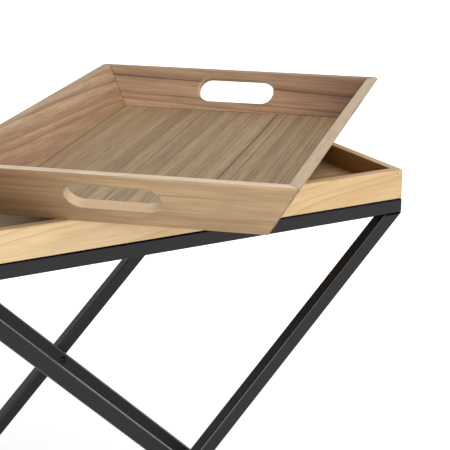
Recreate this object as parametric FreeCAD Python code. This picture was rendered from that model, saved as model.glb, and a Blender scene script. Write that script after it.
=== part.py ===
import FreeCAD, Part
import math
import os

# Side table: a crossed frame of square steel tube carries a shallow wooden box,
# and a loose tray with flared sides lies askew across the rim of the box.
# Millimetres, +Z up, +X along the long side, -Y towards the front.
# The origin is on the floor under the middle of the table.

# Table plan
table_length = 650.0
table_depth = 470.0
plan_corner = 4.0

# Square tube of the frame
tube = 20.0
tube_wall = 1.5
tube_corner = 3.0
tube_bore_corner = 1.5

# Crossed legs
leg_angle = 45.0
leg_gap = 1.0
stretcher_height = 90.0

# Plate and bolt in each leg's head
head_plate = 4.0
head_plate_fit = 0.15
head_bolt_radius = 2.5
head_bolt_dome_radius = 4.75
head_bolt_dome_height = 2.75
head_bolt_mitre_margin = 1.5
access_clearance = 0.75

# Bolts where the legs cross
cross_bolt_radius = 3.0
cross_bolt_dome_radius = 6.5
cross_bolt_dome_height = 3.5
cross_washer_radius = 8.0
cap_nut_flats = 10.0
cap_nut_height = 5.0
cap_nut_dome_height = 3.5
cap_nut_roof = 1.5

# Holes and sockets of the bolts
bolt_clearance = 0.3
thread_fit = 0.1
socket_flats_share = 0.6
socket_depth_share = 0.55

# Plastic glide in each foot
glide_height = 4.0
glide_plug = 14.0
glide_fit = 0.2
glide_corner = 2.0

# Box on the frame
box_height = 40.0
box_board = 14.0
box_corner = 5.0
box_arris = 3.0
box_inner_arris = 1.0
box_foot_arris = 2.0
box_floor_thickness = 12.0
box_floor_fit = 0.3

# Nails at the box corners
nail_radius = 0.9
nail_length = 32.0
nail_from_end = 10.0
nail_below_rim = 5.0
nail_fit = 0.1

# Screws from the rails into the box
screw_radius = 1.75
screw_length = 25.0
screw_head_radius = 3.4
screw_head_height = 2.2
screw_from_end = 90.0
screws_along_length = 3
screws_along_depth = 2

# Tray with flared sides
tray_length = 628.0
tray_width = 436.0
tray_height = 70.0
tray_flare = 45.0
tray_board = 14.0
tray_arris = 1.5
tray_corner_top = 9.0
tray_corner_foot = 2.0
tray_floor_thickness = 9.0
tray_floor_raise = 7.0
tray_groove = 3.0
tray_groove_fit = 0.2

# Handle slot in each end of the tray
slot_length = 116.0
slot_height = 37.5
slot_middle_height = 41.0
slot_offset = 4.0
slot_arris = 2.0

# Brads at the tray's mitres
brad_radius = 0.7
brad_length = 28.0
brad_heights = (24.0, 46.0)

# How the tray lies on the rim
tray_turn = 42.5
tray_shift_x = 75.7
tray_shift_y = -78.8

# Sizes that follow
tube_bore = tube - 2 * tube_wall
slope = math.radians(leg_angle)
leg_cut = tube / math.sin(slope)
leg_run = table_length - leg_cut
leg_rise = leg_run * math.tan(slope)
leg_stock = 2 * math.hypot(leg_run, leg_rise)
rail_bottom = glide_height + leg_rise
rail_top = rail_bottom + tube
rim_top = rail_top + box_height
cross_height = glide_height + leg_rise / 2
leg_outer_y = table_depth / 2 - tube / 2
leg_inner_y = leg_outer_y - tube - leg_gap
screw_line = (tube_wall + box_board) / 2
tray_lean = math.atan2(tray_flare, tray_height)
tray_wall = tray_board / math.cos(tray_lean)
tray_foot_length = tray_length - 2 * tray_flare
tray_foot_width = tray_width - 2 * tray_flare
tray_floor_top = tray_floor_raise + tray_floor_thickness

# Each leg: the side its head leans to, and the middle of its tube across the table
legs = {
    "front_outer": (1, -leg_outer_y),
    "front_inner": (-1, -leg_inner_y),
    "back_outer": (1, leg_outer_y),
    "back_inner": (-1, leg_inner_y),
}

# Each side of the table: its turn about Z, its length, and how far it is from the middle
sides = {
    "front": (0, table_length, table_depth / 2),
    "right": (90, table_depth, table_length / 2),
    "back": (180, table_length, table_depth / 2),
    "left": (270, table_depth, table_length / 2),
}


def vec(x, y, z):
    return FreeCAD.Vector(x, y, z)


origin = vec(0, 0, 0)
along_x = vec(1, 0, 0)
along_y = vec(0, 1, 0)
along_z = vec(0, 0, 1)


# Plain shapes

def block(low, high):
    """Box between two opposite corners."""
    size = high - low
    return Part.makeBox(size.x, size.y, size.z, low)


def rod(radius, start, end):
    """Round bar between two points."""
    run = end - start
    return Part.makeCylinder(radius, run.Length, start, run)


def slab(low, high):
    """Everything of the table between two heights."""
    return block(vec(-table_length, -table_depth, low), vec(table_length, table_depth, high))


def rounded_prism(width, depth, radius, height):
    """Upright bar with round edges, centred on the Z axis."""
    reach_x = width / 2 - radius
    reach_y = depth / 2 - radius
    centres = (vec(reach_x, reach_y, 0), vec(-reach_x, reach_y, 0),
               vec(-reach_x, -reach_y, 0), vec(reach_x, -reach_y, 0))
    arcs = [Part.makeCircle(radius, centre, along_z, 90 * quarter, 90 * quarter + 90)
            for quarter, centre in enumerate(centres)]
    edges = []
    for arc, following in zip(arcs, arcs[1:] + arcs[:1]):
        edges.append(arc)
        edges.append(Part.makeLine(arc.Vertexes[-1].Point, following.Vertexes[0].Point))
    return Part.Face(Part.Wire(edges)).extrude(along_z * height)


def stadium_prism(length, width, height):
    """Upright bar with half-round ends, centred on the origin."""
    radius = width / 2
    reach = length / 2 - radius
    right = Part.makeCircle(radius, vec(reach, 0, 0), along_z, -90, 90)
    left = Part.makeCircle(radius, vec(-reach, 0, 0), along_z, 90, 270)
    top = Part.makeLine(right.Vertexes[-1].Point, left.Vertexes[0].Point)
    bottom = Part.makeLine(left.Vertexes[-1].Point, right.Vertexes[0].Point)
    bar = Part.Face(Part.Wire([right, top, left, bottom])).extrude(along_z * height)
    bar.translate(along_z * (-height / 2))
    return bar


def hex_prism(flats, height):
    """Upright six-sided bar on the XY plane."""
    corners = [vec(math.cos(math.radians(60 * corner)), math.sin(math.radians(60 * corner)), 0)
               * (flats / math.sqrt(3)) for corner in range(6)]
    return Part.Face(Part.makePolygon(corners + corners[:1])).extrude(along_z * height)


def dome(radius, height):
    """Cap of a ball on the XY plane."""
    ball_radius = (radius ** 2 + height ** 2) / (2 * height)
    ball = Part.makeSphere(ball_radius, along_z * (height - ball_radius))
    return ball.common(Part.makeCylinder(radius, height))


def frustum(foot_length, foot_width, top_length, top_width, foot, top):
    """Block with flat sides that widens from its foot to its top."""
    x, y = foot_width / 2, foot_length / 2
    top_x, top_y = top_width / 2, top_length / 2
    body = Part.makeWedge(-x, foot, -y, -top_y, -top_x, x, top, y, top_y, top_x)
    body.rotate(origin, along_x, 90)
    return body


def turned_to(shape, direction):
    """The shape with its Z axis turned to a direction, about the origin."""
    placed = shape.copy()
    turn = FreeCAD.Placement(origin, FreeCAD.Rotation(along_z, direction))
    placed.Placement = turn.multiply(placed.Placement)
    return placed


def moved_to(shape, point):
    """A copy of the shape moved by a vector."""
    placed = shape.copy()
    placed.translate(point)
    return placed


def cut_all(shape, tools):
    """The shape with every tool cut out of it."""
    return shape.cut(Part.Compound(tools)) if tools else shape


def on_side(shape, side):
    """Take a shape made at the middle of a front edge to one side of the table."""
    turn, _, distance = sides[side]
    placed = shape.copy()
    placed.translate(vec(0, -distance, 0))
    placed.rotate(origin, along_z, turn)
    return placed


def only_solid(shape):
    """The one solid of a shape."""
    return shape.Solids[0]


# Fasteners

def dome_bolt(radius, length, dome_radius, dome_height):
    """Bolt with a domed head on the XY plane, a hex socket and its shank down the Z axis."""
    shank = Part.makeCylinder(radius, length, along_z * -length)
    socket_depth = dome_height * socket_depth_share
    socket = hex_prism(dome_radius * socket_flats_share, dome_height)
    socket.translate(along_z * (dome_height - socket_depth))
    return only_solid(shank.fuse(dome(dome_radius, dome_height)).removeSplitter().cut(socket))


def cap_nut():
    """Hex nut with a domed cap, seated on the XY plane and open below."""
    body = hex_prism(cap_nut_flats, cap_nut_height)
    cap = dome(cap_nut_flats / 2, cap_nut_dome_height)
    cap.translate(along_z * cap_nut_height)
    depth = cap_nut_height + cap_nut_dome_height - cap_nut_roof
    hole = Part.makeCylinder(cross_bolt_radius + thread_fit, depth)
    return only_solid(body.fuse(cap).removeSplitter().cut(hole))


def wood_screw():
    """Screw with a flat head below the XY plane and its shank up the Z axis."""
    shank = Part.makeCylinder(screw_radius, screw_length)
    head = Part.makeCylinder(screw_head_radius, screw_head_height, along_z * -screw_head_height)
    return only_solid(shank.fuse(head).removeSplitter())


# Places of the fasteners

def head_bolt_place(name):
    """Point on a rail's underside where a leg's head is bolted."""
    lean, y = legs[name]
    inset = tube / 2
    if lean > 0:
        inset = tube + head_bolt_mitre_margin
    return vec(lean * (table_length / 2 - inset), y, rail_bottom)


def screw_places():
    """Points on the rails' top, each with the side that it is on."""
    places = []
    for side, (_, length, _) in sides.items():
        count = screws_along_length if length == table_length else screws_along_depth
        reach = length / 2 - screw_from_end
        for number in range(count):
            along = -reach + 2 * reach * number / (count - 1)
            places.append((side, vec(along, screw_line, rail_top)))
    return places


def nail_places():
    """Points on the outside of the front and back boards, each with its side."""
    reach = table_length / 2 - nail_from_end
    height = rim_top - nail_below_rim
    return [(side, vec(end * reach, 0, height)) for side in ("front", "back") for end in (-1, 1)]


def brad_places():
    """Points on the outside of the tray's long sides, in the tray's own frame, with their side."""
    places = []
    for height in brad_heights:
        lean_out = tray_flare * height / tray_height
        x = tray_foot_width / 2 + lean_out
        y = tray_foot_length / 2 + lean_out - tray_wall / 2
        places.extend((hand, vec(hand * x, end * y, height)) for hand in (-1, 1) for end in (-1, 1))
    return places


# Steel frame

def ring_block():
    """The outside of the ring frame: the tube's round edge runs on round its dressed corners."""
    body = moved_to(rounded_prism(table_length, table_depth, plan_corner, tube), along_z * rail_bottom)
    level = [edge for edge in body.Edges if edge.BoundBox.ZLength < tube_corner / 2]
    return body.makeFillet(tube_corner, level)


def rail_holes():
    """Every hole for the bolts and screws that pass through the rails."""
    holes = []
    for name in legs:
        point = head_bolt_place(name)
        inside = point + along_z * tube_wall
        holes.append(rod(head_bolt_radius + bolt_clearance, point - along_z * tube_wall, inside))
        holes.append(rod(head_bolt_dome_radius + access_clearance, point + along_z * (tube / 2),
                         point + along_z * (tube + tube_wall)))
    for side, point in screw_places():
        middle = point - along_z * (tube / 2)
        holes.append(on_side(rod(screw_radius + bolt_clearance, middle, point + along_z * tube_wall), side))
        holes.append(on_side(rod(screw_head_radius + access_clearance, point - along_z * (tube + tube_wall),
                                 middle), side))
    return holes


def rail(side):
    """One mitred tube of the ring frame."""
    length = sides[side][1]
    outer = rounded_prism(tube, tube, tube_corner, length)
    bore = rounded_prism(tube_bore, tube_bore, tube_bore_corner, length)
    bar = outer.cut(bore)
    bar.translate(along_z * (-length / 2))
    bar.rotate(origin, along_y, 90)
    bar.translate(vec(0, tube / 2, rail_bottom + tube / 2))
    half = length / 2
    outline = [vec(-half, 0, rail_bottom), vec(half, 0, rail_bottom),
               vec(half - tube, tube, rail_bottom), vec(tube - half, tube, rail_bottom)]
    mitre = Part.Face(Part.makePolygon(outline + outline[:1])).extrude(along_z * tube)
    placed = on_side(bar.common(mitre), side).common(ring_block())
    return only_solid(cut_all(placed, rail_holes()))


def leg_bar(size, corner, name):
    """Long square bar along one leg's line, through the crossing."""
    lean, y = legs[name]
    bar = rounded_prism(size, size, corner, leg_stock)
    bar.translate(along_z * (-leg_stock / 2))
    bar.rotate(origin, along_y, lean * (90 - leg_angle))
    bar.translate(vec(0, y, cross_height))
    return bar


def leg(name):
    """One leg tube, cut level under the rail and above its glide, drilled at the crossing."""
    y = legs[name][1]
    pipe = leg_bar(tube, tube_corner, name).cut(leg_bar(tube_bore, tube_bore_corner, name))
    middle = vec(0, y, cross_height)
    hole = rod(cross_bolt_radius + bolt_clearance, middle - along_y * tube, middle + along_y * tube)
    return only_solid(pipe.common(slab(glide_height, rail_bottom)).cut(hole))


def leg_head_plate(name):
    """Tapped plate welded into a leg's head, flush with the cut."""
    filler = leg_bar(tube_bore - 2 * head_plate_fit, tube_bore_corner, name)
    plate = filler.common(slab(rail_bottom - head_plate, rail_bottom))
    point = head_bolt_place(name)
    hole = rod(head_bolt_radius + thread_fit, point - along_z * tube, point + along_z * tube)
    return only_solid(plate.cut(hole))


def stretcher(pair):
    """Square tube between the feet of one pair of legs, turned to lie flush with them."""
    lean, y = legs["front_" + pair]
    length = 2 * abs(y) - tube
    bar = rounded_prism(tube, tube, tube_corner, length)
    bar = bar.cut(rounded_prism(tube_bore, tube_bore, tube_bore_corner, length))
    bar.translate(along_z * (-length / 2))
    bar.rotate(origin, along_x, 90)
    bar.rotate(origin, along_y, lean * (90 - leg_angle))
    offset = (stretcher_height - cross_height) / math.tan(slope)
    bar.translate(vec(lean * offset, 0, stretcher_height))
    return only_solid(bar)


def foot_glide(name):
    """Plastic pad under a leg's foot, with a plug up into the tube."""
    lean, y = legs[name]
    pad = rounded_prism(leg_cut, tube, glide_corner, glide_height)
    pad.translate(vec(-lean * leg_run / 2, y, 0))
    filler = leg_bar(tube_bore - 2 * glide_fit, tube_bore_corner, name)
    plug = filler.common(slab(glide_height, glide_height + glide_plug))
    return only_solid(pad.fuse(plug))


def head_bolts():
    """Bolts down through the rails into the legs' heads."""
    bolt = dome_bolt(head_bolt_radius, tube_wall + head_plate, head_bolt_dome_radius, head_bolt_dome_height)
    return [moved_to(bolt, head_bolt_place(name) + along_z * tube_wall) for name in legs]


def crossing_faces():
    """For the front and back cross: outward direction, and the inner and outer face of the lap."""
    inner = leg_inner_y - tube / 2
    outer = table_depth / 2
    return [(along_y * hand, vec(0, hand * inner, cross_height), vec(0, hand * outer, cross_height))
            for hand in (-1, 1)]


def cross_bolts():
    """Domed bolts from the inside out through both legs of each cross."""
    through = 2 * tube + leg_gap
    length = through + cap_nut_height
    bolt = dome_bolt(cross_bolt_radius, length, cross_bolt_dome_radius, cross_bolt_dome_height)
    return [moved_to(turned_to(bolt, outward * -1), inner) for outward, inner, _ in crossing_faces()]


def cross_nuts():
    """Cap nuts on the outside of each cross."""
    return [moved_to(turned_to(cap_nut(), outward), outer) for outward, _, outer in crossing_faces()]


def cross_washers():
    """Washers that keep the lapped legs apart."""
    ring = Part.makeCylinder(cross_washer_radius, leg_gap)
    ring = ring.cut(Part.makeCylinder(cross_bolt_radius + bolt_clearance, leg_gap))
    return [moved_to(turned_to(ring, outward), inner + outward * tube)
            for outward, inner, _ in crossing_faces()]


# Box

def nail_hole(side, point, radius):
    """Round bar along a nail, from the outside of its board inwards."""
    return on_side(rod(radius, point, point + along_y * nail_length), side)


def box_holes():
    """Holes in the boards for the nails and screws."""
    holes = [nail_hole(side, point, nail_radius + nail_fit) for side, point in nail_places()]
    for side, point in screw_places():
        tip = point + along_z * (screw_length + nail_fit)
        holes.append(on_side(rod(screw_radius + nail_fit, point - along_z * tube_wall, tip), side))
    return holes


def box_ring():
    """The four boards of the box as one ring, with round corners and eased edges."""
    x = table_length / 2 - box_board
    y = table_depth / 2 - box_board
    body = moved_to(rounded_prism(table_length, table_depth, box_corner, box_height), along_z * rail_top)
    ring = only_solid(body.cut(block(vec(-x, -y, rail_top), vec(x, y, rim_top))))

    def inside(edge):
        """Whether an edge is by the opening rather than by the outside."""
        middle = edge.CenterOfMass
        return max(abs(middle.x) - x, abs(middle.y) - y) < box_board / 2

    for radius, inner, height in ((box_inner_arris, True, rim_top), (box_arris, False, rim_top),
                                  (box_foot_arris, False, rail_top)):
        level = [edge for edge in ring.Edges if edge.BoundBox.ZLength < radius / 2]
        loop = [edge for edge in level
                if abs(edge.CenterOfMass.z - height) < radius / 2 and inside(edge) == inner]
        ring = only_solid(ring.makeFillet(radius, loop))
    return ring


def box_side(side, ring):
    """One board of the box; the front and back ones run past the ends of the other two."""
    length = sides[side][1]
    half = length / 2 if length == table_length else length / 2 - box_board
    plank = block(vec(-half, 0, rail_top), vec(half, box_board, rim_top))
    return only_solid(cut_all(ring.common(on_side(plank, side)), box_holes()))


def box_floor():
    """Panel inside the boards, resting on the ring frame."""
    x = table_length / 2 - box_board - box_floor_fit
    y = table_depth / 2 - box_board - box_floor_fit
    return block(vec(-x, -y, rail_top), vec(x, y, rail_top + box_floor_thickness))


def box_nails():
    """Nails through the long boards into the short ones."""
    return [nail_hole(side, point, nail_radius) for side, point in nail_places()]


def box_screws():
    """Screws from inside the rails up into the boards."""
    return [on_side(moved_to(wood_screw(), point - along_z * tube_wall), side)
            for side, point in screw_places()]


# Tray, made upright about its own middle and then laid across the rim

def on_rim(shape):
    """Take a tray piece from its own frame to its place on the rim."""
    placed = shape.copy()
    placed.rotate(origin, along_z, -tray_turn)
    placed.translate(vec(tray_shift_x, tray_shift_y, rim_top))
    return placed


def tray_ring():
    """The four flared sides as one ring, with eased rim and corners."""
    outer = frustum(tray_foot_length, tray_foot_width, tray_length, tray_width, 0, tray_height)
    uprights = [edge for edge in outer.Edges if edge.BoundBox.ZLength > tray_height / 2]
    outer = outer.makeFillet(tray_corner_foot, tray_corner_top, uprights)
    foot_length = tray_foot_length - 2 * (tray_wall + tray_flare)
    foot_width = tray_foot_width - 2 * (tray_wall + tray_flare)
    top_length = tray_length - 2 * (tray_wall - tray_flare)
    top_width = tray_width - 2 * (tray_wall - tray_flare)
    inner = frustum(foot_length, foot_width, top_length, top_width, -tray_height, 2 * tray_height)
    ring = only_solid(outer.cut(inner))
    rim = [edge for edge in ring.Edges if edge.BoundBox.ZMin > tray_height - tray_arris / 2]
    return only_solid(ring.makeFillet(tray_arris, rim))


def mitre_wedge(turn, length, width):
    """Upright wedge between two mitres, that holds one board of the ring."""
    reach = 2 * tray_flare
    inside = 2 * tray_wall
    far = vec(width / 2 + reach, length / 2 + reach, 0)
    near = vec(width / 2 - inside, length / 2 - inside, 0)
    outline = [far, vec(-far.x, far.y, 0), vec(-near.x, near.y, 0), near]
    wedge = Part.Face(Part.makePolygon(outline + outline[:1])).extrude(along_z * tray_height)
    wedge.rotate(origin, along_z, turn)
    return wedge


def tray_floor_block(spare):
    """The floor panel, or the groove that holds it when some spare room is given."""
    reach = tray_flare * tray_floor_top / tray_height - tray_wall + tray_groove + spare
    x = tray_foot_width / 2 + reach
    y = tray_foot_length / 2 + reach
    return block(vec(-x, -y, tray_floor_raise - spare), vec(x, y, tray_floor_top + spare))


def slot_on_end(end, shape):
    """Take a shape from a slot's own frame, Z through the board, to one end of the tray."""
    middle = tray_foot_length / 2 + tray_flare * slot_middle_height / tray_height - tray_wall / 2
    placed = shape.copy()
    placed.rotate(origin, along_x, 90 - math.degrees(tray_lean))
    placed.translate(vec(slot_offset, middle, slot_middle_height))
    if end < 0:
        placed.rotate(origin, along_z, 180)
    return placed


def slot_mouth_edges(end, board):
    """The edges around both mouths of a handle slot."""
    reach = 2 * slot_arris
    mouth = stadium_prism(slot_length + reach, slot_height + reach, 2 * tray_board)
    core = stadium_prism(slot_length + 2 * reach, slot_height + 2 * reach, tray_board / 2)
    mouth = slot_on_end(end, mouth)
    core = slot_on_end(end, core)
    return [edge for edge in board.Edges
            if mouth.isInside(edge.CenterOfMass, slot_arris, True)
            and not core.isInside(edge.CenterOfMass, slot_arris, True)]


def tray_brad_bar(hand, point, radius):
    """Round bar along a brad, from the outside of a long side inwards."""
    return rod(radius, point, point - along_x * (hand * brad_length))


def tray_holes():
    """Holes in the boards for the brads."""
    return [tray_brad_bar(hand, point, brad_radius + nail_fit) for hand, point in brad_places()]


def tray_end(end, ring):
    """Front or back end of the tray with its handle slot."""
    wedge = mitre_wedge(90 - 90 * end, tray_foot_length, tray_foot_width)
    board = ring.common(wedge)
    board = board.cut(slot_on_end(end, stadium_prism(slot_length, slot_height, 2 * tray_board)))
    board = only_solid(board)
    board = board.makeFillet(slot_arris, slot_mouth_edges(end, board))
    board = cut_all(board.cut(tray_floor_block(tray_groove_fit)), tray_holes())
    return on_rim(only_solid(board))


def tray_side(hand, ring):
    """Left or right side of the tray."""
    wedge = mitre_wedge(-90 * hand, tray_foot_width, tray_foot_length)
    board = ring.common(wedge).cut(tray_floor_block(tray_groove_fit))
    return on_rim(only_solid(cut_all(board, tray_holes())))


def tray_floor():
    """Floor panel of the tray, held in the groove."""
    return on_rim(tray_floor_block(0))


def tray_brads():
    """Brads through the long sides into the ends."""
    return [on_rim(tray_brad_bar(hand, point, brad_radius)) for hand, point in brad_places()]


def all_nodes():
    """Every piece of the table by name."""
    nodes = {}
    for side in sides:
        nodes["rail_" + side] = rail(side)
    for name in legs:
        nodes["leg_" + name] = leg(name)
        nodes["leg_head_plate_" + name] = leg_head_plate(name)
        nodes["foot_glide_" + name] = foot_glide(name)
    for pair in ("outer", "inner"):
        nodes["stretcher_" + pair] = stretcher(pair)
    nodes["leg_head_bolts"] = Part.Compound(head_bolts())
    nodes["crossing_bolts"] = Part.Compound(cross_bolts())
    nodes["crossing_cap_nuts"] = Part.Compound(cross_nuts())
    nodes["crossing_washers"] = Part.Compound(cross_washers())
    boards = box_ring()
    for side in sides:
        nodes["box_" + side + "_board"] = box_side(side, boards)
    nodes["box_floor"] = box_floor()
    nodes["box_nails"] = Part.Compound(box_nails())
    nodes["box_screws"] = Part.Compound(box_screws())
    ring = tray_ring()
    for name, end in (("front", -1), ("back", 1)):
        nodes["tray_" + name + "_end"] = tray_end(end, ring)
    for name, hand in (("left", -1), ("right", 1)):
        nodes["tray_" + name + "_side"] = tray_side(hand, ring)
    nodes["tray_floor"] = tray_floor()
    nodes["tray_brads"] = Part.Compound(tray_brads())
    return nodes


os.makedirs("parts", exist_ok=True)
for node, shape in all_nodes().items():
    shape.exportStep("parts/" + node + ".step")
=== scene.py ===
"""Dress a side table: crossed legs of square steel tube, a shallow wooden box top and a loose tray.

Metres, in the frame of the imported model: +Z up, +X along the long side, -Y to the front.
"""

import logging
import math
from dataclasses import dataclass, field, replace
from enum import Enum, IntEnum
from typing import Any, Sequence

import bmesh
import bpy
from mathutils import Matrix, Vector


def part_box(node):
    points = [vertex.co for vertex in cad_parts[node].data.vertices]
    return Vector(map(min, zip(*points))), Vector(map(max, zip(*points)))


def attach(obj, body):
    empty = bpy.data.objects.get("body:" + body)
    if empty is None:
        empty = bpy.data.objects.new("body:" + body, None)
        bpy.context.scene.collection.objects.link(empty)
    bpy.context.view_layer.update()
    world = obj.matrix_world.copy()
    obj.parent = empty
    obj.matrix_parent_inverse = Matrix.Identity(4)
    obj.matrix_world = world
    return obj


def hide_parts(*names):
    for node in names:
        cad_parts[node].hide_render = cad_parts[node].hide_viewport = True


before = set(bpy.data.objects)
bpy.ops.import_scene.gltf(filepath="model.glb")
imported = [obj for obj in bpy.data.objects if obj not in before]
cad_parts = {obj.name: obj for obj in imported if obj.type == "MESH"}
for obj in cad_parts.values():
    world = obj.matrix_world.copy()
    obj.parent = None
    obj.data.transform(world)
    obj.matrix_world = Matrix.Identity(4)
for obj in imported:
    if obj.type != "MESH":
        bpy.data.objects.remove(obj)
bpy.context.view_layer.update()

log = logging.getLogger("side_table")

Triple = tuple[float, float, float]
Colour = Triple
Place = tuple[Vector, Vector]
Feed = Any
Feeds = dict[Any, Feed]
Material = bpy.types.Material
Piece = bpy.types.Object
Socket = bpy.types.NodeSocket
Outputs = bpy.types.NodeOutputs

ORIGIN: Triple = (0.0, 0.0, 0.0)
QUARTER = math.pi / 2
HEXAGON = 6
NOISE_MIDDLE = 0.5
MERGE_DISTANCE = 1e-6
SHARP_ANGLE = math.radians(35)
# Black for the painted shade in the creases above and below the rails.
PAINTED_SHADE_BLACK: Colour = (0.001, 0.001, 0.001)


class Body(str, Enum):
    """The two bodies that pieces ride on."""

    TABLE = "table"
    TRAY = "tray"


class Slot(str, Enum):
    """The material slots of the record, which set_out takes but does not use."""

    FRAME = "frame_black"
    BOLT = "bolt_black"
    NAIL = "nail_steel"


class Kind(str, Enum):
    """The kinds of socket that node groups have."""

    NUMBER = "NodeSocketFloat"
    WHOLE = "NodeSocketInt"
    VECTOR = "NodeSocketVector"
    OBJECT = "NodeSocketObject"
    MATERIAL = "NodeSocketMaterial"
    GEOMETRY = "NodeSocketGeometry"


class Axis(IntEnum):
    """The ways of a board's own frame: along its grain, up its face and through it."""

    ALONG = 0
    UP = 1
    THROUGH = 2


class Blend(str, Enum):
    """How one colour lies over another."""

    OVER = "MIX"
    TIMES = "MULTIPLY"


class Wiring:
    """Short hand for adding nodes to one tree and linking them."""

    mix_inputs = (0, 6, 7)
    mix_result = 2
    sums_to_number = ("DOT_PRODUCT", "LENGTH")

    def __init__(self, tree: bpy.types.NodeTree) -> None:
        """Keep the tree that is wired."""
        self.tree = tree

    def feed(self, socket: Socket, value: Feed) -> None:
        """Link a socket to another, or set its plain value.

        Args:
            socket: the input to feed.
            value: an output socket, or a number, vector, colour or material.
        """
        if isinstance(value, Socket):
            self.tree.links.new(value, socket)
        else:
            socket.default_value = value

    def add(self, kind: str, feeds: Feeds | None = None, **settings: Any) -> bpy.types.Node:
        """Add a node.

        Args:
            kind: the node's type name.
            feeds: what goes into its inputs, by name or number.
            settings: plain properties of the node.

        Returns:
            The new node.
        """
        node = self.tree.nodes.new(kind)
        for name, value in settings.items():
            setattr(node, name, value)
        for key, value in (feeds or {}).items():
            self.feed(node.inputs[key], value)
        return node

    def math(self, operation: str, first: Feed, second: Feed = 0.0) -> Socket:
        """One sum on two numbers."""
        return self.add("ShaderNodeMath", {0: first, 1: second}, operation=operation).outputs[0]

    def plus(self, first: Feed, second: Feed) -> Socket:
        """Two numbers together."""
        return self.math("ADD", first, second)

    def minus(self, first: Feed, second: Feed) -> Socket:
        """One number less another."""
        return self.math("SUBTRACT", first, second)

    def times(self, first: Feed, second: Feed) -> Socket:
        """One number times another."""
        return self.math("MULTIPLY", first, second)

    def vector(self, operation: str, first: Feed, second: Feed = ORIGIN) -> Socket:
        """One sum on two vectors, or on one."""
        node = self.add("ShaderNodeVectorMath", {0: first, 1: second}, operation=operation)
        return node.outputs["Value" if operation in self.sums_to_number else "Vector"]

    def parts(self, vector: Feed) -> Outputs:
        """The X, Y and Z of a vector."""
        return self.add("ShaderNodeSeparateXYZ", {0: vector}).outputs

    def joined(self, x: Feed, y: Feed, z: Feed) -> Socket:
        """A vector from three numbers."""
        return self.add("ShaderNodeCombineXYZ", {0: x, 1: y, 2: z}).outputs[0]

    def step(self, value: Feed, low: Feed, high: Feed) -> Socket:
        """A soft step from 0 at low to 1 at high."""
        feeds = {"Value": value, "From Min": low, "From Max": high}
        return self.add("ShaderNodeMapRange", feeds, interpolation_type="SMOOTHSTEP").outputs["Result"]

    def spread(self, value: Feed, low: Feed, high: Feed) -> Socket:
        """A value from 0 to 1 spread evenly between two others."""
        return self.add("ShaderNodeMapRange", {"Value": value, "To Min": low, "To Max": high}).outputs["Result"]

    def about(self, value: Feed, middle: float, reach: float) -> Socket:
        """A value from 0 to 1 spread evenly to both sides of a middle."""
        return self.spread(value, middle - reach, middle + reach)

    def noise(self, vector: Feed, grains: Triple, detail: float = 2.0, roughness: float = 0.5) -> Socket:
        """Noise in a stretched space.

        Args:
            vector: where the noise is read.
            grains: how many of its grains fit in a metre along X, Y and Z.
            detail: how many finer layers it has.
            roughness: how strong the finer layers are.

        Returns:
            The noise, about 0.5.
        """
        feeds = {"Vector": self.vector("MULTIPLY", vector, grains), "Scale": 1.0,
                 "Detail": detail, "Roughness": roughness}
        return self.add("ShaderNodeTexNoise", feeds).outputs[0]

    def mix(self, share: Feed, first: Feed, second: Feed, blend: Blend = Blend.OVER) -> Socket:
        """Mix two colours.

        Args:
            share: how much of the second colour, from 0 to 1.
            first: the colour below.
            second: the colour above.
            blend: the way they mix.

        Returns:
            The mixed colour.
        """
        node = self.add("ShaderNodeMix", data_type="RGBA", blend_type=blend.value)
        for number, value in zip(self.mix_inputs, (share, first, second)):
            self.feed(node.inputs[number], (*value, 1.0) if isinstance(value, tuple) else value)
        return node.outputs[self.mix_result]

    def bump(self, height: Feed, strength: float, distance: float) -> Socket:
        """The normal of a surface with fine relief."""
        feeds = {"Height": height, "Strength": strength, "Distance": distance}
        return self.add("ShaderNodeBump", feeds).outputs[0]


class NewMaterial(Wiring):
    """The wiring of a fresh material with a Principled shader."""

    def __init__(self, name: str) -> None:
        """Make the material.

        Args:
            name: its name.
        """
        self.material = bpy.data.materials.new(name)
        self.material.use_nodes = True
        super().__init__(self.material.node_tree)
        self.shader = self.tree.nodes["Principled BSDF"]
        self.on_table = self.add("ShaderNodeTexCoord").outputs["Object"]

    def lie(self, middle: Vector, turn: float = 0.0, tilt: float = 0.0, skew: float = 0.0) -> Socket:
        """Wire the way from the table's frame to a piece's own.

        Args:
            middle: the piece's middle.
            turn: its turn in plan.
            tilt: its tilt about its length.
            skew: the skew of its own X.

        Returns:
            The place in the piece's own frame.
        """
        turned_by = Matrix.Rotation(turn, 3, "Z") @ Matrix.Rotation(tilt, 3, "X") @ Matrix.Rotation(skew, 3, "Z")
        feeds = {"Vector": self.on_table, "Location": middle, "Rotation": turned_by.to_euler()}
        return self.add("ShaderNodeMapping", feeds, vector_type="TEXTURE").outputs[0]

    def wear(self, looks: Feeds) -> Material:
        """Feed the shader.

        Args:
            looks: what goes into its inputs, by name.

        Returns:
            The material.
        """
        for label, value in looks.items():
            self.feed(self.shader.inputs[label], value)
        return self.material


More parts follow.
